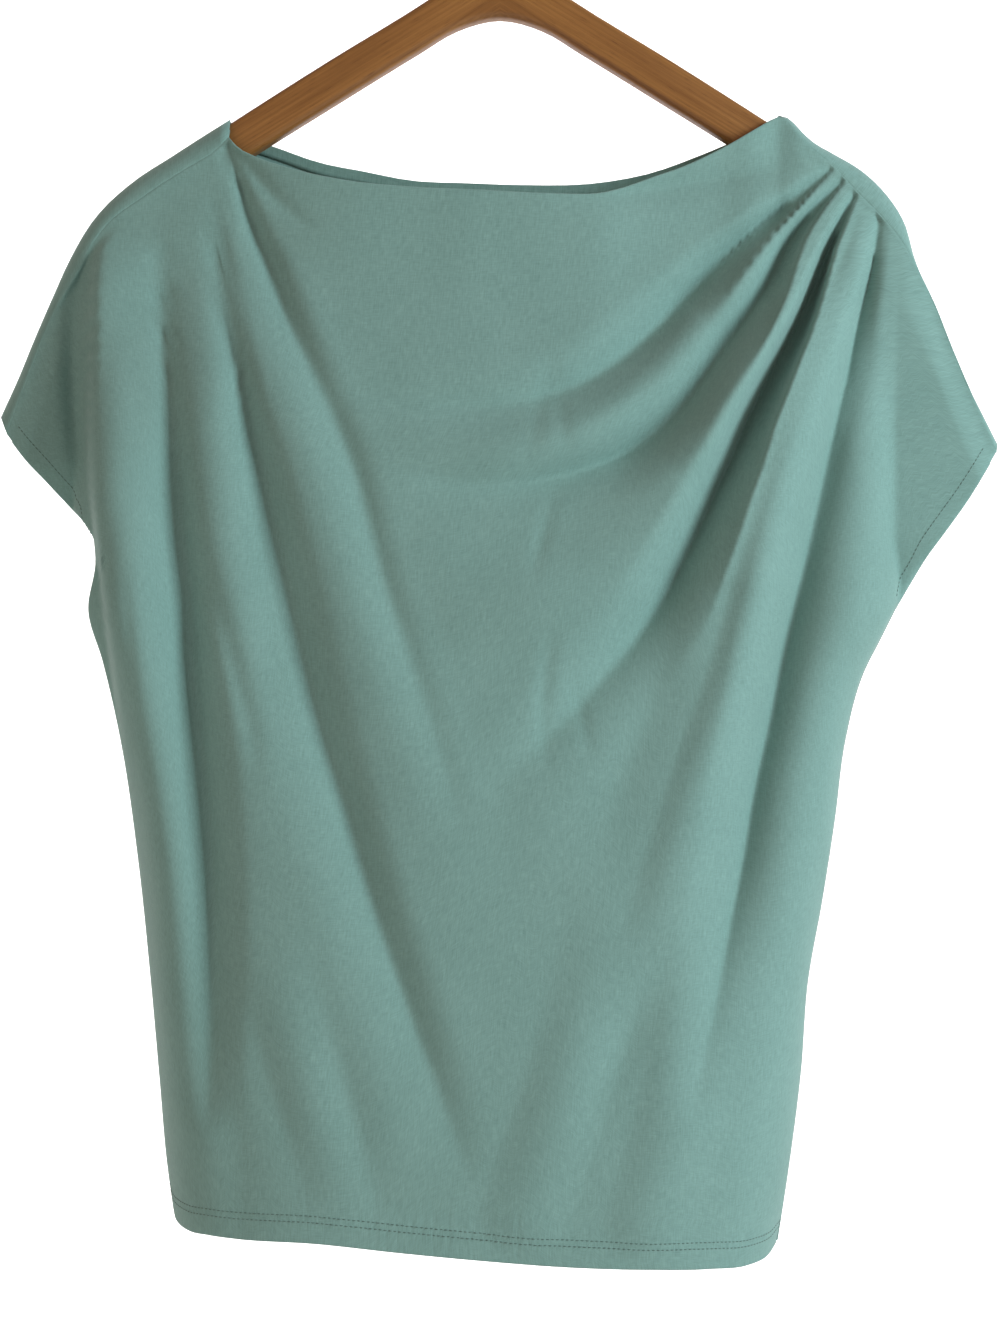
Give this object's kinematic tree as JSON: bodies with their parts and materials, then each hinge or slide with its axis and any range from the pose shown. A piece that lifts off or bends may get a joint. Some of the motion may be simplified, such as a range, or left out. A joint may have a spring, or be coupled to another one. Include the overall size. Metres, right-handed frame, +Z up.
{
  "type": "t-shirt on a clothes hanger",
  "caption": "Draped jersey t-shirt with a boat neck, cap sleeves and pleats at one shoulder, hung on a wooden hanger with a wire hook.",
  "frame": {"origin": "where the hook's inner top rests on its rail", "axes": "+Z up, the front of the t-shirt faces -Y, +X to the right of someone who faces the front"},
  "size_m": [0.5611, 0.1111, 0.8055],
  "materials": {
    "jersey": "fine sage green single jersey with a soft sheen",
    "binding": "the same jersey, cut as a narrow strip",
    "beech": "oiled orange-brown beech",
    "steel": "polished wire"
  },
  "bodies": {
    "root": {"front_panel": "jersey", "back_panel": "jersey", "back_neck_binding": "binding", "hanger_wood": "beech", "hanger_hook": "steel"}
  },
  "joints": []
}
